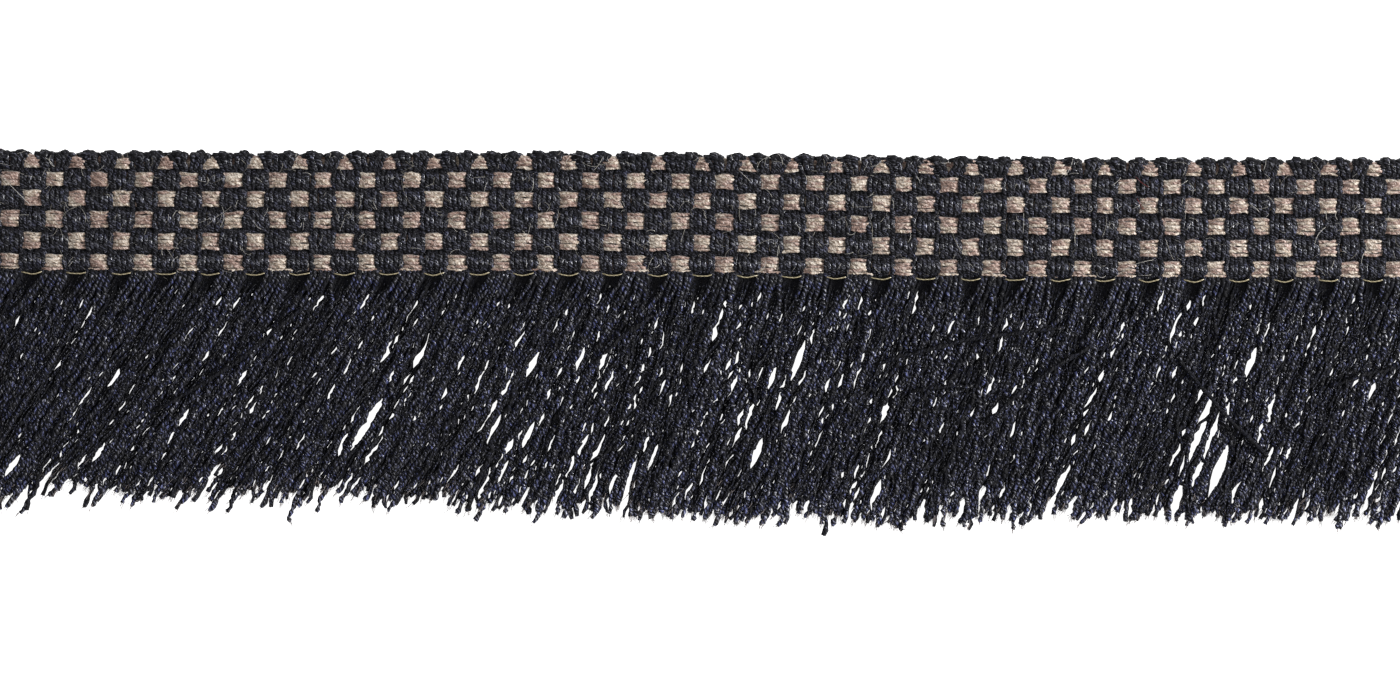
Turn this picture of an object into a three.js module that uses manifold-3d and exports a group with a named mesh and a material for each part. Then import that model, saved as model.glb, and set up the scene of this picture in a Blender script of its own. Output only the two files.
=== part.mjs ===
// A cut length of woven brush fringe. Its heading is a narrow check tape of taupe warp bundles crossed by groups
// of navy weft yarns, and the wefts run on past the heading's foot as a cut fringe that leans to one side.
// Millimetres. The trim lies face up on z = 0, +X along it, +Y across it towards its looped edge, +Z up.
// The origin is the middle of the heading's back.

import * as THREE from "three";
import * as BufferGeometryUtils from "three/addons/utils/BufferGeometryUtils.js";
import Module from "manifold-3d";

// The check: one block is one weft group wide and one warp bundle high
const BLOCK_WIDTH = 3.25;
const BLOCK_COUNT = 68;
const WARP_BUNDLES = [
  { place: "looped edge", height: 2.75 },
  { place: "second", height: 2.7 },
  { place: "third", height: 2.9 },
  { place: "fourth", height: 3.15 },
  { place: "fifth", height: 3.15 },
  { place: "foot", height: 3.1 },
];

// Heights off the surface, where floats dive under their neighbours and where they crest
const DIVE_HEIGHT = 1.1;
const WARP_CREST = 1.75;
const WEFT_CREST = 1.9;
const CREST_INSET = 0.75; // from the ends of a float's crest to the block's sides
const LOOP_REACH = 0.35; // how far each turning weft group stands out past the looped edge

// The fringe: a narrow strip of weft roots and two layers of strands
const PIECE_GAP = 0.3;
const STRIP_WIDTH = 1.2;
const STRIP_HEIGHT = 1.7;
const STRANDS_PER_LAYER = 148;
const STRAND_WIDTH = 0.84;
const STRAND_HEIGHT = 0.62;
const STRAND_STEPS = 4;
const TIP_SHARE = 0.7; // a cut tip's width and height, as a share of the strand's
const STRAND_LENGTH = 35.2; // from the middle of the strip to the cut tip, the mean of all the strands
const LENGTH_SPREAD = 1.3; // the most a strand is cut longer or shorter than the mean
const LAYERS = [
  { lies: "on the surface", base: 0, rootShift: 0.25, clumpWidth: 9.5, clumpStart: 0 },
  { lies: "on the first layer", base: 0.92, rootShift: 0.75, clumpWidth: 12.5, clumpStart: 4 },
];
const CLUMP_PULL = 0.1; // how far a strand's tip is drawn to the middle of its clump, as a share
const BOW = 0.12; // the share of a strand's lean that builds up towards its tip
const LEANS = [
  { x: -112, degrees: 27 },
  { x: -84, degrees: 32 },
  { x: -58, degrees: 30 },
  { x: -32, degrees: 26 },
  { x: -6, degrees: 18 },
  { x: 20, degrees: 18 },
  { x: 46, degrees: 22 },
  { x: 72, degrees: 19 },
  { x: 98, degrees: 19 },
  { x: 112, degrees: 21 },
];

const trimLength = BLOCK_WIDTH * BLOCK_COUNT;
const headingHeight = WARP_BUNDLES.reduce((sum, bundle) => sum + bundle.height, 0);
const headingTop = headingHeight / 2;
const headingFoot = -headingHeight / 2;
const leftEnd = -trimLength / 2;

const wasm = await Module();
wasm.setup();

// The y of each line between two warp bundles, from the looped edge down to the foot
function bundleLines() {
  const lines = [headingTop];
  for (const bundle of WARP_BUNDLES) {
    lines.push(lines.at(-1) - bundle.height);
  }
  return lines;
}

// A closed ring of points, in order seen from outside, as triangles up to a crest line between two points
function crestTriangles(ring, crestA, crestB) {
  const nearer = (p, q) => {
    const middle = new THREE.Vector3().addVectors(p, q).multiplyScalar(0.5);
    return middle.distanceTo(crestA) <= middle.distanceTo(crestB) ? crestA : crestB;
  };
  const triangles = [];
  ring.forEach((point, i) => {
    const next = ring[(i + 1) % ring.length];
    const afterNext = ring[(i + 2) % ring.length];
    const crest = nearer(point, next);
    const nextCrest = nearer(next, afterNext);
    triangles.push(point, next, crest);
    if (crest !== nextCrest) {
      triangles.push(next, nextCrest, crest);
    }
  });
  return triangles;
}

function fan(ring) {
  const triangles = [];
  for (let i = 1; i < ring.length - 1; i += 1) {
    triangles.push(ring[0], ring[i], ring[i + 1]);
  }
  return triangles;
}

function geometryOf(trianglePoints) {
  const geometry = new THREE.BufferGeometry().setFromPoints(trianglePoints);
  return BufferGeometryUtils.mergeVertices(geometry);
}

// The woven tape: flat back, and a face where each float crests and then dives under its neighbours
function headingGeometry() {
  const lines = bundleLines();
  const points = [];
  const onFace = (x, y) => new THREE.Vector3(x, y, DIVE_HEIGHT);
  const onBack = (point) => new THREE.Vector3(point.x, point.y, 0);
  for (let column = 0; column < BLOCK_COUNT; column += 1) {
    const x0 = leftEnd + column * BLOCK_WIDTH;
    const x1 = x0 + BLOCK_WIDTH;
    const loop = onFace((x0 + x1) / 2, headingTop + LOOP_REACH);
    WARP_BUNDLES.forEach((bundle, row) => {
      const top = lines[row];
      const foot = lines[row + 1];
      const ring = [onFace(x0, foot), onFace(x1, foot), onFace(x1, top)];
      if (row === 0) {
        ring.push(loop);
      }
      ring.push(onFace(x0, top));
      const middle = new THREE.Vector3((x0 + x1) / 2, (top + foot) / 2, 0);
      const warpOver = (row + column) % 2 === 0;
      const reach = warpOver
        ? new THREE.Vector3(0, bundle.height / 2 - CREST_INSET, WARP_CREST)
        : new THREE.Vector3(BLOCK_WIDTH / 2 - CREST_INSET, 0, WEFT_CREST);
      const crestA = new THREE.Vector3(middle.x - reach.x, middle.y - reach.y, reach.z);
      const crestB = new THREE.Vector3(middle.x + reach.x, middle.y + reach.y, reach.z);
      points.push(...crestTriangles(ring, crestA, crestB));
    });
    const footLeft = onFace(x0, headingFoot);
    const footRight = onFace(x1, headingFoot);
    const topLeft = onFace(x0, headingTop);
    const topRight = onFace(x1, headingTop);
    points.push(...fan([footLeft, onBack(footLeft), onBack(footRight), footRight]));
    points.push(...fan([topRight, onBack(topRight), onBack(loop), loop]));
    points.push(...fan([loop, onBack(loop), onBack(topLeft), topLeft]));
    points.push(...fan([onBack(footLeft), onBack(topLeft), onBack(loop), onBack(topRight), onBack(footRight)]));
  }
  const leftSide = lines.map((y) => onFace(leftEnd, y));
  points.push(...fan([onBack(leftSide.at(-1)), ...leftSide.toReversed(), onBack(leftSide[0])]));
  const rightSide = lines.map((y) => onFace(leftEnd + trimLength, y));
  points.push(...fan([onBack(rightSide[0]), ...rightSide, onBack(rightSide.at(-1))]));
  return geometryOf(points);
}

// The lean of a strand rooted at x, as a sideways run for each millimetre of drop
function leanAt(x) {
  const after = Math.max(1, LEANS.findIndex((entry) => entry.x >= x));
  const from = LEANS[after - 1];
  const to = LEANS[after];
  const share = THREE.MathUtils.smoothstep(x, from.x, to.x);
  return Math.tan(THREE.MathUtils.degToRad(THREE.MathUtils.lerp(from.degrees, to.degrees, share)));
}

// A repeatable number from -1 to 1 for each strand
function uneven(index, layer) {
  return Math.sin(index * 12.9 + layer.base * 41.3) * Math.cos(index * 4.7);
}

// Rings of three points along a strand, from its root in the strip to its cut tip
function strandRings(index, layer) {
  const rootX = leftEnd + (index + layer.rootShift) * (trimLength / STRANDS_PER_LAYER);
  const rootY = headingFoot - PIECE_GAP - STRIP_WIDTH / 2;
  const clump = Math.floor((rootX - leftEnd - layer.clumpStart) / layer.clumpWidth) + 0.5;
  const clumpX = leftEnd + layer.clumpStart + clump * layer.clumpWidth;
  const lean = leanAt(rootX);
  const drop = (STRAND_LENGTH + LENGTH_SPREAD * uneven(index, layer)) / Math.hypot(1, lean);
  const rings = [];
  for (let step = 0; step <= STRAND_STEPS; step += 1) {
    const share = step / STRAND_STEPS;
    const sideways = lean * drop * (share - BOW * share * (1 - share));
    const x = rootX - sideways + (clumpX - rootX) * CLUMP_PULL * share;
    const y = rootY - drop * share;
    const size = step === STRAND_STEPS ? TIP_SHARE : 1;
    const half = (STRAND_WIDTH / 2) * size;
    rings.push([
      new THREE.Vector3(x - half, y, layer.base),
      new THREE.Vector3(x + half, y, layer.base),
      new THREE.Vector3(x, y, layer.base + STRAND_HEIGHT * size),
    ]);
  }
  return rings;
}

function strandGeometry(index, layer) {
  const rings = strandRings(index, layer);
  const points = [];
  for (let step = 0; step < STRAND_STEPS; step += 1) {
    const ring = rings[step];
    const next = rings[step + 1];
    for (let side = 0; side < ring.length; side += 1) {
      const other = (side + 1) % ring.length;
      points.push(...fan([ring[side], ring[other], next[other], next[side]]));
    }
  }
  points.push(...rings[0].toReversed());
  points.push(...rings[STRAND_STEPS]);
  return geometryOf(points);
}

function solidOf(geometry) {
  const vertProperties = Float32Array.from(geometry.attributes.position.array);
  const triVerts = Uint32Array.from(geometry.index.array);
  return new wasm.Manifold(new wasm.Mesh({ numProp: 3, vertProperties, triVerts }));
}

function geometryOfSolid(solid) {
  const mesh = solid.getMesh();
  const geometry = new THREE.BufferGeometry();
  geometry.setAttribute("position", new THREE.BufferAttribute(mesh.vertProperties, 3));
  geometry.setIndex(new THREE.BufferAttribute(mesh.triVerts, 1));
  return geometry;
}

function stripGeometry() {
  const box = new THREE.BoxGeometry(trimLength, STRIP_WIDTH, STRIP_HEIGHT);
  box.translate(0, headingFoot - PIECE_GAP - STRIP_WIDTH / 2, STRIP_HEIGHT / 2);
  box.deleteAttribute("normal");
  box.deleteAttribute("uv");
  return BufferGeometryUtils.mergeVertices(box);
}

function fringeGeometry() {
  let fringe = solidOf(stripGeometry());
  for (const layer of LAYERS) {
    for (let index = 0; index < STRANDS_PER_LAYER; index += 1) {
      fringe = fringe.add(solidOf(strandGeometry(index, layer)));
    }
  }
  return geometryOfSolid(fringe);
}

function subPart(name, geometry, material) {
  geometry.computeVertexNormals();
  const mesh = new THREE.Mesh(geometry, new THREE.MeshStandardMaterial(material));
  mesh.name = name;
  return mesh;
}

const trim = new THREE.Group();
trim.add(subPart("heading", headingGeometry(), { color: 0x5e5655, roughness: 0.85, metalness: 0 }));
trim.add(subPart("fringe", fringeGeometry(), { color: 0x1b1d2a, roughness: 0.75, metalness: 0 }));

export default trim;
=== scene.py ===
import math

import bpy
import numpy as np
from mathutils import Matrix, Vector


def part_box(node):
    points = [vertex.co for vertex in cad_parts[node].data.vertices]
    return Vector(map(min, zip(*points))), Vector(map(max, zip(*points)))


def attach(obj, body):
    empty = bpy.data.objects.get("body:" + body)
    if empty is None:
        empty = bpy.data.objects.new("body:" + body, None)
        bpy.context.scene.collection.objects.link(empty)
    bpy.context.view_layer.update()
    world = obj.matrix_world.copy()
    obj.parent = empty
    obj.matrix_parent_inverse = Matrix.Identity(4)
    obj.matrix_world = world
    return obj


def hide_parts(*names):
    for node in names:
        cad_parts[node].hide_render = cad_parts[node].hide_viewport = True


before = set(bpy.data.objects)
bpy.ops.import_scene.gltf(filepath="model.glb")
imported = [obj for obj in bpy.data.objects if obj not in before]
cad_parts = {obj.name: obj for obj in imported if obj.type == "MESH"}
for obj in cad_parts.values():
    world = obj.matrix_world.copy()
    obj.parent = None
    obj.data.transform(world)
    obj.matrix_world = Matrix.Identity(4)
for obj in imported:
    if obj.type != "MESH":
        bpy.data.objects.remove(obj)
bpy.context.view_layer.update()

# The camera hangs straight above the trim, which lies face up and runs off both sides of the picture.
# The picture is 204 mm wide at the trim's face, and the trim is turned a fraction of a degree in it.
VIEW_WIDTH = 0.2036
VIEW_CENTRE = (-0.0051, -0.0193, 0.0012)
VIEW_TURN = math.radians(0.41)
LENS_MM = 100
SENSOR_MM = 36

camera_data = bpy.data.cameras.new("camera")
camera_data.lens = LENS_MM
camera_data.sensor_width = SENSOR_MM
camera = bpy.data.objects.new("camera", camera_data)
camera.location = (VIEW_CENTRE[0], VIEW_CENTRE[1], VIEW_CENTRE[2] + VIEW_WIDTH * LENS_MM / SENSOR_MM)
camera.rotation_euler = (0, 0, VIEW_TURN)
bpy.context.collection.objects.link(camera)
bpy.context.scene.camera = camera


# The floor is a white light table: a plain pale sheet that glows, so that the slits in the fringe show white.
# Under the heading the floor is painted black and does not glow: painted shade where the heading hides the
# glow.
# A soft lamp stands low to the right, one overhead.
class Shade:
    """A node socket on which Python's operators add Math nodes, and which makes any other node."""

    def __init__(self, tree, socket=None):
        self.tree = tree
        self.socket = socket

    def node(self, kind, settings=None, sockets=None, output=0):
        made = self.tree.nodes.new("ShaderNode" + kind)
        for name, value in (settings or {}).items():
            if name == "stops":
                ramp = made.color_ramp.elements
                for place, _ in value[len(ramp):]:
                    ramp.new(place)
                for element, (place, colour) in zip(ramp, value):
                    element.position = place
                    element.color = (*colour, 1)
            else:
                setattr(made, name, value)
        for name, value in (sockets or {}).items():
            self.feed(made.inputs[name], value)
        return Shade(self.tree, made.outputs[output])

    def feed(self, target, value):
        if isinstance(value, Shade):
            self.tree.links.new(value.socket, target)
        else:
            target.default_value = value

    def math(self, operation, first, second=0.0, third=0.0):
        return self.node("Math", {"operation": operation}, {0: first, 1: second, 2: third})

    def parts(self):
        """The three numbers of a vector."""
        return [self.node("SeparateXYZ", sockets={0: self}, output=axis) for axis in range(3)]

    def rise(self, start, end, top=1.0):
        """0 on one side of two numbers, a top value on the other, and an even slope between them."""
        return self.node("MapRange", sockets={
            "Value": self, "From Min": start, "From Max": end, "To Max": top,
        })

    def __add__(self, other):
        return self.math("ADD", self, other)

    def __radd__(self, other):
        return self.math("ADD", other, self)

    def __sub__(self, other):
        return self.math("SUBTRACT", self, other)

    def __rsub__(self, other):
        return self.math("SUBTRACT", other, self)

    def __mul__(self, other):
        return self.math("MULTIPLY", self, other)

    def __rmul__(self, other):
        return self.math("MULTIPLY", other, self)


def new_material(name, constants):
    material = bpy.data.materials.new(name)
    material.use_nodes = True
    shader = material.node_tree.nodes["Principled BSDF"]
    for socket, value in constants.items():
        shader.inputs[socket].default_value = value
    return material, shader.inputs, Shade(material.node_tree)


FLOOR_SIZE = 4.0
FLOOR_DROP = 0.00004
FLOOR_WHITE = 0.86
SHADED_TOP_INSET = 0.0014  # from the heading's sides to the floor under it that is painted black as its shade
SHADED_FOOT_INSET = 0.0006
SHADED_END_INSET = 0.0015
SKY_STRENGTH = 0.28

heading_low, heading_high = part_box("heading")
bpy.ops.mesh.primitive_plane_add(size=FLOOR_SIZE, location=(0, 0, -FLOOR_DROP))
floor = bpy.context.object
floor.name = "floor"
floor_material, floor_inputs, shade = new_material("floor_white", {
    "Roughness": 0.6, "Emission Strength": 0.95,
})
floor_x, floor_y, _ = shade.node("NewGeometry", output="Position").parts()


def between(value, low, high):
    """1 where a value lies between two numbers, and 0 elsewhere."""
    return value.math("COMPARE", value, (low + high) / 2, (high - low) / 2)


under_length = between(floor_x, heading_low[0] + SHADED_END_INSET, heading_high[0] - SHADED_END_INSET)
under_height = between(floor_y, heading_low[1] + SHADED_FOOT_INSET, heading_high[1] - SHADED_TOP_INSET)
# Painted shade: under the heading the floor's colour and its glow are both set to black.
floor_outside_painted_shade = 1 - under_length * under_height
shade.feed(floor_inputs["Base Color"], FLOOR_WHITE * floor_outside_painted_shade)
shade.feed(floor_inputs["Emission Color"], floor_outside_painted_shade)
floor.data.materials.append(floor_material)


def add_lamp(name, place, size, power):
    lamp_data = bpy.data.lights.new(name, "AREA")
    lamp_data.shape = "RECTANGLE"
    lamp_data.size = size
    lamp_data.size_y = size
    lamp_data.energy = power
    lamp = bpy.data.objects.new(name, lamp_data)
    lamp.location = place
    aim = camera.location - lamp.location
    aim.z = -lamp.location.z
    lamp.rotation_euler = aim.to_track_quat("-Z", "Y").to_euler()
    bpy.context.collection.objects.link(lamp)


add_lamp("key_lamp", place=(0.85, 0.05, 0.38), size=0.28, power=15.5)
add_lamp("overhead_lamp", place=(-0.1, 0.1, 1.1), size=0.8, power=3.5)

world = bpy.data.worlds.new("studio")
world.use_nodes = True
world.node_tree.nodes["Background"].inputs["Color"].default_value = (1, 1, 1, 1)
world.node_tree.nodes["Background"].inputs["Strength"].default_value = SKY_STRENGTH
bpy.context.scene.world = world
bpy.context.scene.view_settings.view_transform = "Standard"

# Warp bundles: six flat bundles of soft heather taupe threads that run along the heading, five side by side
# in each. A bundle goes over one group of wefts and under the next, and its neighbours do the reverse.
MM = 0.001  # in metres: sizes from here on are in millimetres
BLOCK_COUNT = 68
BUNDLE_HEIGHTS = (2.45, 2.7, 2.9, 3.15, 3.15, 3.1)
THREADS_PER_BUNDLE = 5
THREAD_HALF = 0.285
THREAD_SIDES = 5
THREAD_STEP = 0.55
THREAD_TURN = 2.4  # the length of one turn of its plies
THREAD_GAP_OVER = 0.152  # as a share of the bundle's height, as is the next
THREAD_GAP_UNDER = 0.135
THREAD_SLIP = 0.14  # how unevenly a thread rises and dives, as a share of a block
THREAD_WANDER = 0.11  # how far a thread wanders sideways, up and down, and in a short ripple
THREAD_RISE = 0.08
THREAD_RIPPLE = 0.05
THREAD_SWELL = 0.18  # how uneven a thread's size is, as a share of it
WARP_MIDDLE = 0.92  # the height half-way between a thread's crests and dives
WARP_SWING = 0.58
WARP_FLATNESS = 0.5
WARP_DOME = 0.3  # how much less the outer threads of a bundle rise
BEND = 0.17  # how far the trim's line wavers
BEND_LENGTH = 135.0
BEND_MIDDLE = -22.0

left_x, foot_y, _ = np.array(heading_low) / MM
right_x = heading_high[0] / MM
block_width = (right_x - left_x) / BLOCK_COUNT
top_y = foot_y + sum(BUNDLE_HEIGHTS)
bundle_lines = top_y - np.concatenate([[0], np.cumsum(BUNDLE_HEIGHTS)])
bundle_middles = (bundle_lines[:-1] + bundle_lines[1:]) / 2
rng = np.random.default_rng(11)


def flat_wave(turns, flatness):
    """A cosine of half turns with flattened crests and steeper flanks."""
    return np.tanh(flatness * np.cos(np.pi * turns)) / math.tanh(flatness)


def drift(places, wavelength, rows):
    """A smooth uneven wander along places, different for each row, from about -1 to 1."""
    wander = np.zeros((rows, np.shape(places)[-1]))
    for share in (1.0, 0.47, 0.23):
        phase = rng.uniform(0, 2 * np.pi, (rows, 1))
        stretch = rng.uniform(0.8, 1.25, (rows, 1))
        wander += math.sqrt(share) * np.sin(2 * np.pi * stretch * places / (wavelength * share) + phase)
    return wander / 1.8


def joined_tubes(name, lines, half_sizes, sides, beside, thickness=1.0, tones=(0.0, 1.0)):
    """One mesh of closed tubes along lines, an array of tubes by points by 3 in millimetres, with a half size
    for each point, and a share of it for the thickness where they are flattened. Each tube has a tone of its
    own. The trim was laid by hand, so its line wavers a little."""
    tubes, points, _ = lines.shape
    lines = lines.copy()
    lines[..., 1] += BEND * np.cos(2 * np.pi * (lines[..., 0] - BEND_MIDDLE) / BEND_LENGTH)
    along = np.gradient(lines, axis=1)
    along /= np.linalg.norm(along, axis=2, keepdims=True)
    first = np.array(beside) - along * (along @ np.array(beside))[..., None]
    first /= np.linalg.norm(first, axis=2, keepdims=True)
    second = np.cross(along, first) * np.broadcast_to(thickness, half_sizes.shape)[..., None]
    lengths = np.linalg.norm(np.diff(lines, axis=1), axis=2)
    reach = np.concatenate([np.zeros((tubes, 1)), np.cumsum(lengths, axis=1)], axis=1)
    tone = rng.uniform(*tones, (tubes, 1)) * np.ones((1, points))
    corners = np.empty((tubes, points, sides, 3))
    places = np.zeros((tubes, points, sides, 3))
    circles = np.zeros((tubes, points, sides, 3))
    for side in range(sides):
        angle = 2 * np.pi * side / sides
        swing = math.cos(angle) * first + math.sin(angle) * second
        corners[:, :, side] = lines + swing * half_sizes[..., None]
        places[:, :, side, 0] = reach
        places[:, :, side, 1] = tone
        places[:, :, side, 2] = lines[..., 1]
        circles[:, :, side, :2] = math.cos(angle), math.sin(angle)
    number = np.arange(tubes * points * sides).reshape(tubes, points, sides)
    after = np.roll(number, -1, axis=2)
    walls = np.stack([number[:, :-1], number[:, 1:], after[:, 1:], after[:, :-1]], axis=-1).reshape(-1, 4)
    caps = np.concatenate([number[:, 0], number[:, -1, ::-1]])
    mesh = bpy.data.meshes.new(name)
    mesh.vertices.add(number.size)
    mesh.vertices.foreach_set("co", (corners * MM).ravel())
    loop_corners = np.concatenate([walls.ravel(), caps.ravel()])
    mesh.loops.add(len(loop_corners))
    mesh.loops.foreach_set("vertex_index", loop_corners)
    starts = np.concatenate([np.arange(len(walls)) * 4, walls.size + np.arange(len(caps)) * sides])
    mesh.polygons.add(len(starts))
    mesh.polygons.foreach_set("loop_start", starts)
    mesh.polygons.foreach_set("use_smooth", np.ones(len(starts), dtype=bool))
    mesh.attributes.new("place", "FLOAT_VECTOR", "POINT").data.foreach_set("vector", places.ravel())
    mesh.attributes.new("around", "FLOAT_VECTOR", "POINT").data.foreach_set("vector", circles.ravel())
    mesh.update(calc_edges=True)
    add_strip_map(mesh, loop_corners, (tubes, points, sides), len(walls) * 4)
    piece = bpy.data.objects.new(name, mesh)
    bpy.context.collection.objects.link(piece)
    return piece


def add_strip_map(mesh, loop_corners, shape, wall_loops):
    """Lays each tube out as a strip of its own on the piece's map."""
    tubes, points, sides = shape
    tube = loop_corners // (points * sides)
    point = loop_corners // sides % points
    side = loop_corners % sides
    wraps = np.zeros(len(loop_corners), dtype=bool)
    quads = side[:wall_loops].reshape(-1, 4)
    wraps[:wall_loops] = ((quads.max(axis=1) == sides - 1) & (quads.min(axis=1) == 0)).repeat(4)
    across = np.where(wraps & (side == 0), sides, side) / sides
    side_margin = 0.06
    end_margin = 0.01
    from_left = (tube + side_margin + (1 - 2 * side_margin) * across) / tubes
    from_foot = end_margin + (1 - 2 * end_margin) * point / (points - 1)
    place = np.stack([from_left, from_foot], axis=1)
    mesh.uv_layers.new(name="OFBake").data.foreach_set("uv", place.ravel())


def finish_piece(piece, material):
    piece.data.materials.append(material)
    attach(piece, "root")


def twisted_fibres(shade, half, turn, wobble, stretch, scale):
    """A strand's tone, a point's place across its twisting plies, and noise that follows the uneven twist."""
    reach, tone, _ = shade.node("Attribute", {"attribute_name": "place"}, output="Vector").parts()
    across, upward, _ = shade.node("Attribute", {"attribute_name": "around"}, output="Vector").parts()
    own_place = tone * 300
    uneven = shade.node("TexNoise", {"noise_dimensions": "1D"}, {"W": reach * 0.9 + own_place, "Scale": 1.0})
    angle = reach * (0.75 + 0.5 * tone) * (2 * math.pi / turn) + wobble * uneven + tone * 40
    cosine = shade.math("COSINE", angle)
    sine = shade.math("SINE", angle)
    crown_side = across * cosine + upward * sine
    crease_side = upward * cosine - across * sine
    twisted = shade.node("CombineXYZ", sockets={
        "X": reach * stretch + own_place, "Y": crown_side * half, "Z": crease_side * half,
    })
    noise = shade.node("TexNoise", sockets={
        "Vector": twisted, "Scale": scale, "Detail": 3.0, "Roughness": 0.6,
    })
    return tone, crown_side, noise


threads = THREADS_PER_BUNDLE * len(BUNDLE_HEIGHTS)
warp_x = np.arange(left_x, right_x + THREAD_STEP / 2, THREAD_STEP)
thread_bundle = np.repeat(np.arange(len(BUNDLE_HEIGHTS)), THREADS_PER_BUNDLE)
thread_place = np.tile(np.arange(THREADS_PER_BUNDLE) - (THREADS_PER_BUNDLE - 1) / 2, len(BUNDLE_HEIGHTS))
warp_blocks = (warp_x - left_x) / block_width - 0.5 + THREAD_SLIP * drift(warp_x, 5.0, threads)
warp_over = flat_wave(warp_blocks + thread_bundle[:, None], WARP_FLATNESS)
warp_gap = THREAD_GAP_UNDER + (THREAD_GAP_OVER - THREAD_GAP_UNDER) * (warp_over + 1) / 2
warp_gap *= np.array(BUNDLE_HEIGHTS)[thread_bundle][:, None]
warp_dome = WARP_DOME * (2 * thread_place / (THREADS_PER_BUNDLE - 1)) ** 2
warp_lines = np.empty((threads, len(warp_x), 3))
warp_lines[..., 0] = warp_x
warp_lines[..., 1] = bundle_middles[thread_bundle][:, None] + thread_place[:, None] * warp_gap
warp_lines[..., 1] += THREAD_WANDER * drift(warp_x, 5.5, threads)
warp_lines[..., 1] += THREAD_RIPPLE * drift(warp_x, 2.2, threads)
warp_lines[..., 2] = WARP_MIDDLE + (WARP_SWING - warp_dome[:, None]) * warp_over
warp_lines[..., 2] += THREAD_RISE * drift(warp_x, 7.0, threads)
warp_lines[..., 2] += THREAD_RIPPLE * drift(warp_x, 2.2, threads)
warp_half = THREAD_HALF * (1 + THREAD_SWELL * drift(warp_x, 11.0, threads))
warp_lines[..., 2] = np.maximum(warp_lines[..., 2], warp_half)
warp = joined_tubes("warp_bundles", warp_lines, warp_half, THREAD_SIDES, beside=(0, 1, 0))

taupe, taupe_inputs, shade = new_material("taupe_thread", {
    "Roughness": 0.6, "Sheen Weight": 0.2, "Specular IOR Level": 0.5,
})
tone, ply_side, fibre = twisted_fibres(shade, THREAD_HALF, THREAD_TURN, wobble=3.0, stretch=0.7, scale=4.5)
reach, _, row_y = shade.node("Attribute", {"attribute_name": "place"}, output="Vector").parts()
lot_place = shade.node("CombineXYZ", sockets={"X": reach * 0.35, "Y": row_y * 0.5})
lot = shade.node("TexNoise", {"noise_dimensions": "2D"}, {"Vector": lot_place, "Scale": 1.0, "Detail": 0.0})
crown = ply_side * ply_side
# Base colour: the threads' own tone from their fibres, lot and strand, with the creases between plies painted
# a little darker as shade.
tone_and_painted_shading = fibre + 0.1 * crown + 0.22 * lot + 0.06 * tone - 0.085
pink_taupe = shade.node("ValToRGB", {"stops": [
    (0.42, (0.075, 0.036, 0.025)),
    (0.59, (0.318, 0.206, 0.166)),
    (0.75, (0.69, 0.585, 0.535)),
]}, {"Fac": tone_and_painted_shading})
sand_taupe = shade.node("ValToRGB", {"stops": [
    (0.42, (0.08, 0.047, 0.029)),
    (0.59, (0.333, 0.25, 0.184)),
    (0.75, (0.7, 0.63, 0.55)),
]}, {"Fac": tone_and_painted_shading})
sandy = (lot + 0.15 * tone).rise(0.5, 0.66)
taupe_mix = shade.node("Mix", {"data_type": "RGBA"}, {0: sandy, 6: pink_taupe, 7: sand_taupe}, output=2)
shade.feed(taupe_inputs["Base Color"], taupe_mix)
shade.feed(taupe_inputs["Normal"], shade.node("Bump", sockets={
    "Strength": 0.7, "Distance": 0.0002, "Height": fibre + 0.8 * crown,
}))
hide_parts("heading")
finish_piece(warp, taupe)

# Weft yarns: two-ply navy yarns in groups of six. A group crosses the warp bundles, over and under, turns
# round the top one into the next group, and runs on past the foot, where it is cut and brushed as the fringe.
YARNS_PER_GROUP = 6
YARN_HALF = 0.435
YARN_SIDES = 5
YARN_STEP = 0.42
YARN_TURN = -1.3  # the length of one turn of its plies, wound the other way than the warp's
WOVEN_TURN = -1.5
YARN_THICKNESS = 0.5  # in the heading, as a share of its width
THINNING_LENGTH = 3.0  # below the foot, where a yarn thins to its size in the fringe
WEFT_MIDDLE = 0.95
WEFT_SWING = 0.6
WEFT_FLATNESS = 0.7
WEFT_DOME = 0.12
WEFT_RISE = 0.08  # how far a yarn wanders up and down, and sideways
WEFT_WANDER = 0.13
YARN_GAP_OVER = 0.67
YARN_GAP_UNDER = 0.5
YARN_SPREAD = 0.07
TURN_POINTS = 12
ROW_POINTS = 85
# The loops of a group's outer, middle and inner yarns: how far they stand from the group's middle, as a share
# of a block, and how far past the top bundle
LOOP_PLACES = (0.75, 0.47, 0.2)
LOOP_REACH = (-0.15, 0.25, -0.07)
LOOP_PLACE_SPREAD = 0.075
LOOP_REACH_SPREAD = 0.04
LOOP_SWELL = 0.8
CATCH_DROP = 0.35  # from the foot to where the catch thread holds the yarns
FRINGE_HALF = 0.335
FRINGE_SWELL = 0.28  # how uneven a loose yarn's size is, as a share of it
SWELL_LENGTH = 2.4
LUMP_SIZE = 0.08  # of the lumps in any yarn, and what a swell adds to them
LUMP_SHARE = 0.4
TIP_SIZES = (1.15, 0.95)  # of a yarn's last two points, as shares of its size there
FRINGE_LENGTH = 35.9
STRAND_POINTS = 90
LENGTH_SPREAD = 0.5
FAN_GAP = 1 / 3  # between the yarns of a group once they have fanned out, as a share of a block
FAN_SHIFT = 0.27
FAN_SPREAD = 0.12
FAN_LENGTH = 8.0  # the drop over which the yarns fan out, settle, wander sideways and wander up and down
SETTLE_LENGTH = 5.0
WANDER_LENGTH = 3.5
LIFT_LENGTH = 6.0
STRAND_WANDER = 0.3  # how far a loose yarn wanders sideways, in short kinks, and up and down
STRAND_KINK = 0.27
STRAND_LIFT = 0.22
LAYER_HEIGHTS = (1.0, 0.7)  # of the groups that come off the face and of those from below
LAYER_SPREAD = 0.12
BOW = 0.12  # the share of a yarn's lean that builds up towards its tip
LEAN_SPREAD = 0.1
UNRULY_SHARE = 0.06  # of the strands, whose leans are spread that many times wider than the others'
UNRULY_LEAN = 2.8
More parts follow.
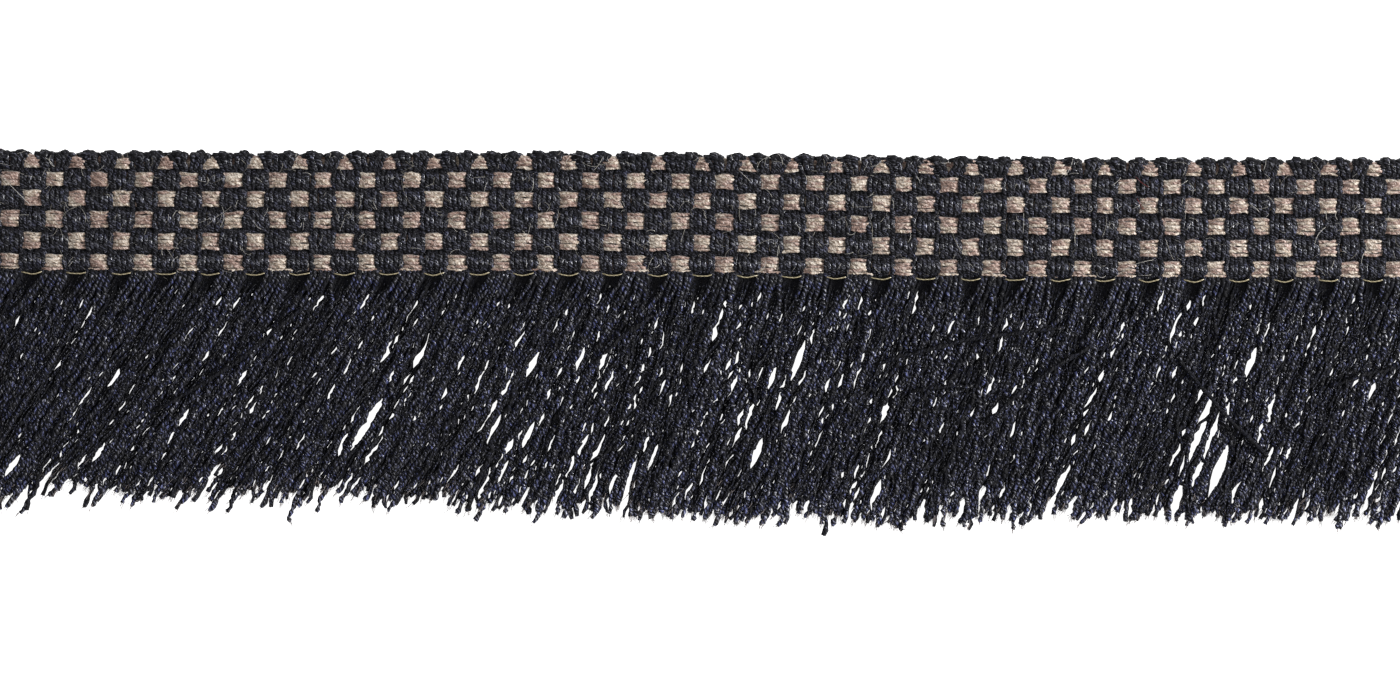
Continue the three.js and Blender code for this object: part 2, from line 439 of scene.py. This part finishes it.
MEAN_LEAN = 0.45  # the mean sideways run of the fringe for each millimetre of drop
# The lean in degrees of a strand rooted at each x
LEANS = (
    (-112, 27), (-84, 32), (-58, 31), (-32, 28), (-6, 20), (20, 18), (46, 22), (72, 19), (98, 19), (112, 21),
)
# Where the fringe parts and shows the floor: x, drop below the foot, length and width
PARTINGS = (
    (-105.0, 28.1, 4.5, 1.0), (-96.3, 20.8, 3.0, 0.4), (-92.7, 26.3, 4.0, 0.5), (-90.3, 15.4, 3.0, 0.35),
    (-87.7, 6.8, 4.0, 0.35), (-56.7, 24.4, 4.5, 0.7), (-54.8, 20.2, 5.5, 0.45), (-53.6, 21.9, 9.0, 1.45),
    (-46.6, 7.2, 3.0, 0.3), (-45.9, 12.4, 3.0, 0.35), (-35.0, 22.3, 5.0, 0.4), (-32.6, 25.0, 3.0, 0.9),
    (-30.8, 8.2, 7.5, 0.7), (-30.0, 23.4, 5.5, 0.7), (-29.5, 13.2, 5.0, 0.9), (-22.6, 12.6, 3.5, 0.55),
    (-19.1, 12.1, 4.5, 0.55), (-15.0, 29.2, 9.0, 0.55), (-11.8, 26.5, 6.0, 0.5), (-10.5, 16.2, 4.0, 0.4),
    (-0.9, 12.8, 3.0, 0.4), (3.2, 25.8, 5.5, 1.05), (5.5, 14.8, 5.5, 0.55), (6.6, 17.6, 6.5, 0.4),
    (9.1, 12.4, 8.0, 0.9), (20.7, 31.1, 4.5, 0.65), (31.3, 7.0, 3.0, 0.35), (37.3, 15.2, 5.0, 0.5),
    (37.7, 19.3, 3.5, 0.9), (63.9, 13.4, 3.0, 0.5), (63.8, 7.0, 5.0, 0.4), (64.5, 31.6, 6.5, 1.1),
    (65.6, 26.4, 6.0, 0.55), (67.5, 27.9, 6.0, 0.55), (67.9, 21.3, 12.0, 1.4), (69.5, 22.3, 8.5, 0.55),
    (70.5, 27.5, 9.5, 1.5), (75.1, 11.7, 6.0, 1.0), (92.6, 16.1, 4.0, 0.45),
)
CROSSING_SHARE = 0.04  # of the strands, which stay where they are and lie across a parting
# Where the strands cling together: x, drop below the foot and length
CLINGS = (
    (-93.2, 19.5, 7.0), (-49.0, 18.6, 13.0), (-42.3, 20.1, 9.0), (-23.0, 24.0, 8.0), (-16.0, 16.4, 9.0),
    (-3.3, 22.4, 11.0), (61.9, 13.8, 6.0), (75.6, 18.3, 9.0), (87.5, 10.1, 8.0),
)
CLING_SHARE = 0.85  # how far they are drawn in, as a share of the way, and from how far off
CLING_REACH = 1.2

column = np.repeat(np.arange(BLOCK_COUNT), YARNS_PER_GROUP)
order = np.tile(np.arange(YARNS_PER_GROUP), BLOCK_COUNT)
yarns = len(column)
offset = order - (YARNS_PER_GROUP - 1) / 2
group_x = left_x + (column + 0.5) * block_width
inward = np.minimum(order, YARNS_PER_GROUP - 1 - order)
upper = column % 2 == 1
over_first = np.where(upper, 1.0, -1.0)


def ease(share):
    share = np.clip(share, 0, 1)
    return share * share * (3 - 2 * share)


def heading_paths():
    """Each weft yarn from the middle of its turn round the top bundle down to the catch thread."""
    turn = np.linspace(np.pi / 2, 0, TURN_POINTS + 1)[:-1]
    rows = np.linspace(0, len(BUNDLE_HEIGHTS), ROW_POINTS)
    row_ends = np.append(bundle_middles, foot_y - CATCH_DROP)
    row_y = np.interp(rows, np.arange(len(row_ends)), row_ends)
    face = flat_wave(rows, WEFT_FLATNESS)[None] * over_first[:, None]
    dome = WEFT_DOME * (2 * offset[:, None] / (YARNS_PER_GROUP - 1)) ** 2
    z = WEFT_MIDDLE + face * (WEFT_SWING - dome) + WEFT_RISE * drift(row_y, 5.0, yarns)
    z = np.concatenate([WEFT_MIDDLE + np.cos(turn)[None] * (z[:, :1] - WEFT_MIDDLE), z], axis=1)
    rank = np.where(upper, inward, 2 - inward)
    loop_y = top_y + np.array(LOOP_REACH)[rank] + LOOP_REACH_SPREAD * rng.normal(size=yarns)
    turn_y = bundle_middles[0] + np.sin(turn)[None] * (loop_y[:, None] - bundle_middles[0])
    y = np.concatenate([turn_y, np.broadcast_to(row_y, face.shape)], axis=1)
    gap = YARN_GAP_UNDER + (YARN_GAP_OVER - YARN_GAP_UNDER) * (face + 1) / 2
    x = (group_x + rng.normal(0, YARN_SPREAD, yarns))[:, None] + offset[:, None] * gap
    x = np.concatenate([np.repeat(x[:, :1], len(turn), axis=1), x], axis=1)
    loop_shift = np.repeat(rng.normal(0, LOOP_PLACE_SPREAD, BLOCK_COUNT), YARNS_PER_GROUP)
    loop_place = np.array(LOOP_PLACES)[rank] + loop_shift
    loop_place = np.where(upper, loop_place, 1 - loop_place)
    loop_x = group_x + np.sign(offset) * loop_place * block_width
    turning = np.clip((y - bundle_lines[1]) / (loop_y[:, None] - bundle_lines[1]), 0, 1)
    x = x + turning ** 1.2 * (loop_x[:, None] - x)
    x = x + WEFT_WANDER * drift(np.arange(x.shape[1]), 25.0, yarns)
    return np.stack([x, y, z], axis=2)


# The fringe parts into locks, each drawn together a little towards its tip
LOCK_MARGIN = 10.0  # past each end of the heading
LOCK_WIDTHS = (2.5, 7.0)
LOCK_PULL = 0.055
LOCK_LEAN_SPREAD = 0.015
LOCK_LENGTH_SPREAD = 0.5
LOCK_LIFT = 0.3
LOCK_BLUR = 0.6  # how far the strands of neighbouring locks mix

lock_edges = [left_x - LOCK_MARGIN]
while lock_edges[-1] < right_x + LOCK_MARGIN:
    lock_edges.append(lock_edges[-1] + rng.uniform(*LOCK_WIDTHS))
lock_edges = np.array(lock_edges)
lock_middles = (lock_edges[:-1] + lock_edges[1:]) / 2
lock_pull = rng.uniform(0.0, LOCK_PULL, len(lock_middles))
lock_lean = rng.normal(0, LOCK_LEAN_SPREAD, len(lock_middles))
lock_length = rng.normal(0, LOCK_LENGTH_SPREAD, len(lock_middles))
lock_lift = rng.uniform(0, LOCK_LIFT, len(lock_middles))
lean_x, lean_degrees = np.array(LEANS).T


def lean_at(x):
    """The sideways run of the fringe for each millimetre of drop."""
    return np.tan(np.radians(np.interp(x, lean_x, lean_degrees)))


def fringe_paths(root, even_x, layer_z, lean_spread, lock_shift=0.0):
    """Yarns that run on from their root points, fan out evenly, lean and end at the cut."""
    count = len(root)
    share = np.linspace(0, 1, STRAND_POINTS + 1)[None, 1:]
    lock = np.searchsorted(lock_edges, even_x + lock_shift + rng.normal(0, LOCK_BLUR, count)) - 1
    lock = np.clip(lock, 0, len(lock_middles) - 1)
    unruly = np.where(rng.uniform(size=count) < UNRULY_SHARE, UNRULY_LEAN, 1.0)
    lean = lean_at(even_x) + lock_lean[lock] + lean_spread * unruly * rng.normal(size=count)
    length = FRINGE_LENGTH + lock_length[lock] + LENGTH_SPREAD * rng.normal(size=count)
    drop = length / np.hypot(1, lean)
    down = share * drop[:, None]
    x = root[:, :1] + ease(down / FAN_LENGTH) * (even_x[:, None] - root[:, :1])
    x = x - lean[:, None] * drop[:, None] * (share - BOW * share * (1 - share))
    x = x + (lock_pull[lock] * (lock_middles[lock] - lock_shift - even_x))[:, None] * share ** 1.5
    wander = STRAND_WANDER * drift(down[:1], 9.0, count)
    wander += STRAND_KINK * drift(down[:1], 4.0, count)
    x = x + ease(down / WANDER_LENGTH) * wander
    y = root[:, 1:2] - down
    z = layer_z + lock_lift[lock] + LAYER_SPREAD * np.abs(rng.normal(size=count))
    z = root[:, 2:] + ease(down / SETTLE_LENGTH) * (z[:, None] - root[:, 2:])
    z = z + STRAND_LIFT * ease(down / LIFT_LENGTH) * drift(down[:1], 9.0, count)
    return np.stack([part_strands(x, y), y, z], axis=2)


def beside_place(x, y, middle_x, drop, length):
    """How far points lie beside a place in the fringe, and how near its middle they are, from 0 to 1."""
    above = y - (foot_y - drop)
    aside = x - middle_x - above * lean_at(middle_x + MEAN_LEAN * drop)
    return aside, np.clip(1 - (2 * above / length) ** 2, 0, 1)


def part_strands(x, y):
    """The strands' x, drawn together where they cling and pushed to either side of each parting."""
    parted = rng.uniform(size=(len(x), 1)) > CROSSING_SHARE
    for middle_x, drop, length in CLINGS:
        aside, nearness = beside_place(x, y, middle_x, drop, length)
        x = x - aside * CLING_SHARE * nearness * np.exp(-(aside / CLING_REACH) ** 2)
    for middle_x, drop, length, width in PARTINGS:
        aside, opening = beside_place(x, y, middle_x, drop, length)
        side = np.sign(np.sum(aside * opening, axis=1, keepdims=True))
        clear = np.hypot(np.maximum(side * aside, 0), (width / 2 + FRINGE_HALF) * opening)
        x = np.where(parted & (opening > 0), x - aside + side * clear, x)
    return x


def even_steps(lines, step):
    """The same lines with evenly spaced points."""
    lengths = np.linalg.norm(np.diff(lines, axis=1), axis=2)
    reach = np.concatenate([np.zeros((len(lines), 1)), np.cumsum(lengths, axis=1)], axis=1)
    count = int(reach[:, -1].mean() / step) + 1
    even = np.empty((len(lines), count, 3))
    for line, places, result in zip(lines, reach, even):
        wanted = np.linspace(0, places[-1], count)
        for axis in range(3):
            result[:, axis] = np.interp(wanted, places, line[:, axis])
    return even


def yarn_sizes(halves, swell, step):
    """Half sizes along yarns made uneven, with slow swells too, and a little wider near the cut end."""
    swells = swell * drift(np.arange(halves.shape[1]) * step, SWELL_LENGTH, len(halves))
    lumps = (LUMP_SIZE + LUMP_SHARE * swell) * np.clip(rng.normal(size=halves.shape), -2, 2)
    sizes = halves * (1 + swells + lumps)
    sizes[:, -2:] *= TIP_SIZES
    return sizes


woven = heading_paths()
even_x = group_x + offset * block_width * FAN_GAP + np.where(upper, -FAN_SHIFT, FAN_SHIFT)
even_x += rng.normal(0, FAN_SPREAD, yarns)
loose = fringe_paths(woven[:, -1], even_x, np.where(upper, *LAYER_HEIGHTS), LEAN_SPREAD)
weft_lines = even_steps(np.concatenate([woven, loose], axis=1), YARN_STEP)
bound = ease(1 + (weft_lines[..., 1] - foot_y) / THINNING_LENGTH)
weft_half = FRINGE_HALF + (YARN_HALF - FRINGE_HALF) * bound
weft_half *= 1 + LOOP_SWELL * ease((weft_lines[..., 1] - bundle_middles[0]) / (top_y - bundle_middles[0]))
weft_sizes = yarn_sizes(weft_half, FRINGE_SWELL * (1 - bound), YARN_STEP)
weft_thickness = 1 - (1 - YARN_THICKNESS) * ease((weft_lines[..., 1] - foot_y + 1) / 2)
weft_lines[..., 2] = np.maximum(weft_lines[..., 2], weft_sizes * weft_thickness)

navy, navy_inputs, shade = new_material("navy_yarn", {
    "Specular IOR Level": 0.2, "Specular Tint": (0.86, 0.88, 1, 1),
    "Coat Roughness": 0.3, "Coat IOR": 1.6, "Coat Tint": (0.9, 0.92, 1, 1),
})
tone, ply_side, fibre = twisted_fibres(shade, YARN_HALF, YARN_TURN, wobble=5.0, stretch=1.2, scale=3.4)
_, woven_side, woven_fibre = twisted_fibres(
    shade, YARN_HALF, WOVEN_TURN, wobble=3.0, stretch=1.0, scale=5.0,
)
crown = ply_side * ply_side
woven_crown = 0.5 + woven_side * (2 * woven_side * woven_side - 1.5)
reach, _, yarn_y = shade.node("Attribute", {"attribute_name": "place"}, output="Vector").parts()
in_heading = yarn_y.rise(foot_y - 1.2, foot_y + 0.4)
patch = shade.node("TexNoise", {"noise_dimensions": "1D"}, {"W": reach * 0.6 + tone * 500, "Scale": 1.0})
# Painted shade: yarns that lie low in the weave get fewer glints, and so a darker base colour, than raised
# ones.
height = shade.node("NewGeometry", output="Position").parts()[2]
raised = height.rise(0.9 * MM, 1.6 * MM)
dull = tone.rise(0.2, 0.0, top=0.22)
at_tip = yarn_y.rise(foot_y - 28, foot_y - 34)
at_root = yarn_y.rise(foot_y - 4.6, foot_y - 0.5)
# Painted shade: low yarns at the roots just below the catch thread are painted darker.
painted_root_shade = 0.3 * at_root * (1 - raised)
# The fringe's base colour: painted highlights on ply crowns and fibres, random patch and strand tone, paler
# frayed tips and the painted root shade.
loose_shine = 0.46 * crown + 1.02 * fibre + 0.14 * patch - dull + 0.09 * at_tip - painted_root_shade + 0.045
in_loop = yarn_y.rise(bundle_lines[1], top_y)
# The heading's base colour: painted highlights on plies and fibres, with painted shade on low yarns and on
# the loops round the top bundle.
woven_shine = 1.65 * woven_fibre + 0.28 * woven_crown + 0.08 * patch + 0.12 * raised - 0.1 * in_loop - 0.31
tone_and_painted_shading = loose_shine + in_heading * (woven_shine - loose_shine)
# The glints brighten the base colour as painted highlights, besides the real coat and lower roughness that
# they also bring.
glint = shade.node("MapRange", {"interpolation_type": "SMOOTHSTEP"}, {
    "Value": tone_and_painted_shading, "From Min": 0.77, "From Max": 1.08,
})
grey_navy_glints = shade.node("ValToRGB", {"stops": [
    (0.0, (0.0107, 0.0104, 0.0113)),
    (0.4, (0.02, 0.0192, 0.022)),
    (1.0, (0.155, 0.152, 0.172)),
]}, {"Fac": glint})
blue_navy_glints = shade.node("ValToRGB", {"stops": [
    (0.0, (0.0086, 0.0087, 0.0124)),
    (0.4, (0.0122, 0.014, 0.033)),
    (1.0, (0.07, 0.082, 0.22)),
]}, {"Fac": glint})
even_patch = patch + in_heading * (0.305 - 0.75 * patch)
blueness = even_patch.rise(0.4, 0.62)
navy_glint_mix = shade.node("Mix", {"data_type": "RGBA"}, {0: blueness, 6: grey_navy_glints, 7: blue_navy_glints}, output=2)
shade.feed(navy_inputs["Base Color"], navy_glint_mix)
shade.feed(navy_inputs["Roughness"], 0.9 - 0.4 * glint)
shade.feed(navy_inputs["Coat Weight"], glint)
loose_relief = 2.6 * crown + 1.8 * fibre
woven_relief = 2.2 * woven_crown + 2.2 * woven_fibre
shade.feed(navy_inputs["Normal"], shade.node("Bump", sockets={
    "Strength": 0.9, "Distance": 0.0002, "Height": loose_relief + in_heading * (woven_relief - loose_relief),
}))

WEFT_PIECES = 4
for number, group in enumerate(np.array_split(np.arange(yarns), WEFT_PIECES)):
    name = f"weft_yarns_{number + 1}"
    piece = joined_tubes(
        name, weft_lines[group], weft_sizes[group], YARN_SIDES, beside=(1, 0, 0),
        thickness=weft_thickness[group],
    )
    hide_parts("fringe")
    finish_piece(piece, navy)

# Inner yarns: more of the same weft yarns, which leave the heading under the others and fill the fringe
# from below, so that little of the surface shows between the strands.
INNER_PER_GROUP = 11
INNER_SIDES = 3
INNER_HALF = 0.325
INNER_STEP = 0.95
INNER_ROOT = (0.6, 0.45)  # how far inside the foot the yarns start, and how high
INNER_HEIGHTS = (0.35, 1.0)
INNER_LEAN_SPREAD = 0.13
INNER_LOCK_SHIFT = 2.3  # their locks lie that far along from those above
INNER_ROOT_SWELL = 0.2

inner_count = INNER_PER_GROUP * BLOCK_COUNT
inner_places = np.arange(inner_count) + rng.uniform(0.1, 0.9, inner_count)
inner_x = left_x + inner_places * block_width / INNER_PER_GROUP
inner_root = np.empty((inner_count, 3))
inner_root[:, 0] = inner_x
inner_root[:, 1:] = foot_y + INNER_ROOT[0], INNER_ROOT[1]
inner_z = rng.uniform(*INNER_HEIGHTS, inner_count)
inner_lines = fringe_paths(inner_root, inner_x, inner_z, INNER_LEAN_SPREAD, INNER_LOCK_SHIFT)
inner_lines = even_steps(inner_lines, INNER_STEP)
inner_sizes = yarn_sizes(np.full(inner_lines.shape[:2], INNER_HALF), FRINGE_SWELL, INNER_STEP)
inner_sizes *= 1 + INNER_ROOT_SWELL * ease((inner_lines[..., 1] - foot_y + 5) / 2.5)
inner_lines[..., 2] = np.maximum(inner_lines[..., 2], inner_sizes)
inner = joined_tubes("inner_yarns", inner_lines, inner_sizes, INNER_SIDES, beside=(0, 0, 1))
finish_piece(inner, navy)

# Stray yarns: a few of the fringe's own navy yarns that were brushed out of line. They lie across the others,
# on top of them, with both ends tucked down among them.
STRAY_HALF = 0.3
STRAY_HEIGHT = 2.3
STRAY_TUCK = 0.9  # how much lower the ends lie
STRAY_WANDER = 0.15
STRAY_STEP = 0.6
STRAY_POINTS = 41
STRAY_LENGTH = 20.0  # about, for its wander
STRAY_TONES = (0.0, 0.04)
# Each stray yarn's first and last x and drop below the foot, and how far it bows
STRAYS = (
    (64.5, 11.5, 77.5, 25.5, -0.8), (47.5, 7.0, 20.5, 12.5, 0.9), (34.5, 15.6, 25.5, 16.4, 0.3),
    (-63.0, 5.0, -84.5, 20.0, -1.2), (98.0, 12.5, 86.5, 15.5, 0.5), (-12.0, 6.0, -20.5, 13.0, 0.6),
    (51.9, 9.5, 36.5, 20.8, 0.9),
)

stray_share = np.linspace(0, 1, STRAY_POINTS)
stray_lines = np.empty((len(STRAYS), len(stray_share), 3))
for line, (from_x, from_drop, to_x, to_drop, bow) in zip(stray_lines, STRAYS):
    line[:, 0] = from_x + (to_x - from_x) * stray_share
    line[:, 1] = foot_y - from_drop - (to_drop - from_drop) * stray_share + bow * np.sin(np.pi * stray_share)
    line[:, 2] = STRAY_HEIGHT - STRAY_TUCK * (2 * stray_share - 1) ** 4
stray_lines[..., 1] += STRAY_WANDER * drift(stray_share * STRAY_LENGTH, 9.0, len(STRAYS))
stray_lines = even_steps(stray_lines, STRAY_STEP)
stray_sizes = yarn_sizes(np.full(stray_lines.shape[:2], STRAY_HALF), FRINGE_SWELL, STRAY_STEP)
strays = joined_tubes(
    "stray_yarns", stray_lines, stray_sizes, YARN_SIDES, beside=(0, 0, 1), tones=STRAY_TONES,
)
finish_piece(strays, navy)

# Frayed ends: the fibres of the navy yarns that come untwisted at the cut and spread past it, a few at each
# tip. They look paler than the yarns, because they are so thin.
FRAY_HALF = 0.03
FRAY_LENGTHS = (0.4, 1.2)
FRAYS_PER_WEFT = 6
FRAYS_PER_INNER = 4
FRAY_INSET = 0.3  # from the cut back to where a fibre leaves its yarn
FRAY_SPREADS = (0.2, 0.09, 0.2)  # sideways at a fibre's start, middle and end
FRAY_TAPER = np.array([1.2, 1.0, 0.4])
FRAY_SIZES = (0.7, 1.3)
FIBRE_SIDES = 3


def frayed_ends(lines, per_tip):
    """Short fibres that leave the ends of yarns at slightly different angles."""
    tips = lines[:, -1].repeat(per_tip, axis=0)
    onward = tips - lines[:, -3].repeat(per_tip, axis=0)
    onward /= np.linalg.norm(onward, axis=1, keepdims=True)
    length = rng.uniform(*FRAY_LENGTHS, (len(tips), 1))
    at_start, at_middle, at_end = FRAY_SPREADS
    start = tips - FRAY_INSET * onward + at_start * np.clip(rng.normal(size=tips.shape), -2, 2)
    middle = start + (FRAY_INSET + length / 2) * onward + at_middle * rng.normal(size=tips.shape)
    end = middle + length / 2 * onward + at_end * rng.normal(size=tips.shape)
    fibres = np.stack([start, middle, end], axis=1)
    fibres[..., 2] = np.maximum(fibres[..., 2], FRAY_HALF)
    return fibres


weft_frays = frayed_ends(weft_lines, FRAYS_PER_WEFT)
fray_lines = np.concatenate([weft_frays, frayed_ends(inner_lines, FRAYS_PER_INNER)])
fray_sizes = FRAY_HALF * FRAY_TAPER * rng.uniform(*FRAY_SIZES, (len(fray_lines), 1))
frayed = joined_tubes("frayed_ends", fray_lines, fray_sizes, FIBRE_SIDES, beside=(1, 0, 0))
frayed_navy, frayed_inputs, shade = new_material("frayed_navy", {"Roughness": 0.7})
tone, _, fibre = twisted_fibres(shade, FRAY_HALF, turn=4.0, wobble=0.0, stretch=0.4, scale=2.0)
frayed_mix = shade.node("ValToRGB", {"stops": [
    (0.2, (0.012, 0.0115, 0.014)),
    (0.8, (0.24, 0.2, 0.19)),
]}, {"Fac": 0.7 * tone + 0.3 * fibre})
shade.feed(frayed_inputs["Base Color"], frayed_mix)
finish_piece(frayed, frayed_navy)

# Catch thread: a fine pale gold thread at the heading's foot. It passes over each weft group that comes off
# the face and under the next, sags a little under each, and holds the groups in place.
CATCH_HALF = 0.095
CATCH_SIDES = 4
CATCH_STEP = 0.25
CATCH_SAG = 0.34
CATCH_SAG_SPREAD = 0.2  # as a share of the sag
CATCH_WANDER = 0.06
CATCH_RISE = 0.15  # above the heading's foot
CATCH_MIDDLE = 1.3
CATCH_SWING = 0.42
CATCH_FLATNESS = 3.0

catch_x = np.arange(left_x, right_x, CATCH_STEP)
catch_blocks = (catch_x - left_x) / block_width - 0.5
catch_lines = np.empty((1, len(catch_x), 3))
catch_lines[..., 0] = catch_x
catch_sag = CATCH_SAG * (1 + CATCH_SAG_SPREAD * drift(catch_x, 13.0, 1))
catch_lines[..., 1] = foot_y + CATCH_RISE - catch_sag * np.cos(np.pi * catch_blocks)
catch_lines[..., 1] += CATCH_WANDER * drift(catch_x, 8.0, 1)
catch_lines[..., 2] = CATCH_MIDDLE + CATCH_SWING * flat_wave(catch_blocks, CATCH_FLATNESS)
catch_sizes = np.full((1, len(catch_x)), CATCH_HALF)
catch = joined_tubes("catch_thread", catch_lines, catch_sizes, CATCH_SIDES, beside=(0, 1, 0))
gold, gold_inputs, shade = new_material("gold_thread", {
    "Roughness": 0.45, "Coat Weight": 0.6, "Coat Roughness": 0.25,
})
_, ply_side, fibre = twisted_fibres(shade, CATCH_HALF, turn=1.0, wobble=0.0, stretch=1.0, scale=2.0)
# Base colour: the fibres' own tone, with the plies' crowns painted paler and the creases between them darker,
# as painted highlight and shade.
gold_mix = shade.node("ValToRGB", {"stops": [
    (0.3, (0.19, 0.155, 0.08)),
    (0.7, (0.7, 0.61, 0.4)),
]}, {"Fac": 0.5 * fibre + 0.5 * ply_side * ply_side})
shade.feed(gold_inputs["Base Color"], gold_mix)
finish_piece(catch, gold)

# Stray hairs: fine pale fibres that work loose from the taupe threads. Most are short and stand up from the
# heading, and a few longer ones lie across it.
HAIR_HALF = 0.026
HAIR_COUNT = 520
HAIR_POINTS = 9
HAIR_SIZES = (0.6, 1.3)
HAIR_TAPER = (1.1, 0.6)
HAIR_HEIGHT = 1.7
HAIR_ARCH = 0.06  # as a share of the hair's length
HAIR_SPREAD = (0.8, 0.9)  # along and across the heading, from the middle of a block
HAIR_SHORTEST = 0.6
HAIR_GROWTH = 0.8  # the mean of what a hair is longer than the shortest
# The long hairs: where they start, the way they set out in degrees, their length and how far they turn
LONG_HAIRS = (
    (-99.3, 3.8, -126, 2.0, 0.1), (-80.1, -3.6, -133, 2.8, 0.2), (-76.5, -1.2, 28, 3.4, 0.2),
    (-29.8, -1.0, -95, 4.2, -0.6), (-21.0, 6.0, 40, 2.5, 0.5), (1.4, -6.6, 65, 4.6, -0.9),
    (22.5, 2.0, 145, 3.0, 0.4), (53.0, -3.0, 60, 3.2, 0.6), (84.0, 5.2, -150, 3.6, -0.3),
)


def curled_hairs(start, way, length, turn):
    """Fibres from start points that set out at an angle, turn as they go and arch up off the face."""
    share = np.linspace(0, 1, HAIR_POINTS)[None]
    angle = way[:, None] + turn[:, None] * share
    step = (length / (HAIR_POINTS - 1))[:, None]
    x = start[:, :1] + np.cumsum(step * np.cos(angle), axis=1)
    y = start[:, 1:2] + np.cumsum(step * np.sin(angle), axis=1)
    z = HAIR_HEIGHT + HAIR_ARCH * length[:, None] * np.sin(np.pi * share)
    return np.stack([x, y, np.broadcast_to(z, x.shape)], axis=2)


def listed_hairs(rows):
    """The hairs of a table of starts, ways in degrees, lengths and turns."""
    x, y, way, length, turn = np.array(rows).T
    return curled_hairs(np.stack([x, y], axis=1), np.radians(way), length, turn)


hair_block = rng.integers(0, BLOCK_COUNT, HAIR_COUNT)
hair_row = rng.integers(0, len(BUNDLE_HEIGHTS), HAIR_COUNT)
hair_x = left_x + (hair_block + 0.5 * (hair_row % 2 != hair_block % 2)) * block_width
hair_start = np.stack([hair_x, bundle_middles[hair_row]], axis=1)
for axis, spread in enumerate(HAIR_SPREAD):
    hair_start[:, axis] += rng.normal(0, spread, HAIR_COUNT)
hair_length = HAIR_SHORTEST + rng.exponential(HAIR_GROWTH, HAIR_COUNT)
hair_way = rng.uniform(0, 2 * np.pi, HAIR_COUNT)
hair_turn = rng.normal(0, 1.0, HAIR_COUNT)
short_hairs = curled_hairs(hair_start, hair_way, hair_length, hair_turn)
hair_lines = np.concatenate([short_hairs, listed_hairs(LONG_HAIRS)])
hair_sizes = HAIR_HALF * rng.uniform(*HAIR_SIZES, (len(hair_lines), 1))
hair_sizes = hair_sizes * np.linspace(*HAIR_TAPER, HAIR_POINTS)
hairs = joined_tubes("stray_hairs", hair_lines, hair_sizes, FIBRE_SIDES, beside=(0, 0, 1))
hair_material, hair_inputs, shade = new_material("pale_hair", {"Roughness": 0.5})
tone, _, fibre = twisted_fibres(shade, HAIR_HALF, turn=4.0, wobble=0.0, stretch=0.4, scale=2.0)
hair_mix = shade.node("ValToRGB", {"stops": [
    (0.2, (0.2, 0.18, 0.15)),
    (0.8, (0.75, 0.72, 0.66)),
]}, {"Fac": 0.6 * tone + 0.4 * fibre})
shade.feed(hair_inputs["Base Color"], hair_mix)
finish_piece(hairs, hair_material)

# Russet hairs: three coloured fibres near the right end, as fine as the pale ones. They came in with the yarn
# and were caught in the heading's face when it was woven.
RUSSET_HAIRS = ((57.8, 6.5, -54.43, 2.6, 0.5), (70.6, 9.0, 57.3, 2.4, -0.4), (58.2, 3.2, -68.75, 1.8, 0.3))

russet_lines = listed_hairs(RUSSET_HAIRS)
russet_sizes = np.full(russet_lines.shape[:2], HAIR_HALF)
russets = joined_tubes("russet_hairs", russet_lines, russet_sizes, FIBRE_SIDES, beside=(0, 0, 1))
russet_material, russet_inputs, shade = new_material("russet_hair", {"Roughness": 0.5})
_, _, fibre = twisted_fibres(shade, HAIR_HALF, turn=4.0, wobble=0.0, stretch=0.4, scale=2.0)
russet_mix = shade.node("ValToRGB", {"stops": [
    (0.3, (0.12, 0.012, 0.01)),
    (0.7, (0.4, 0.06, 0.045)),
]}, {"Fac": fibre})
shade.feed(russet_inputs["Base Color"], russet_mix)
finish_piece(russets, russet_material)
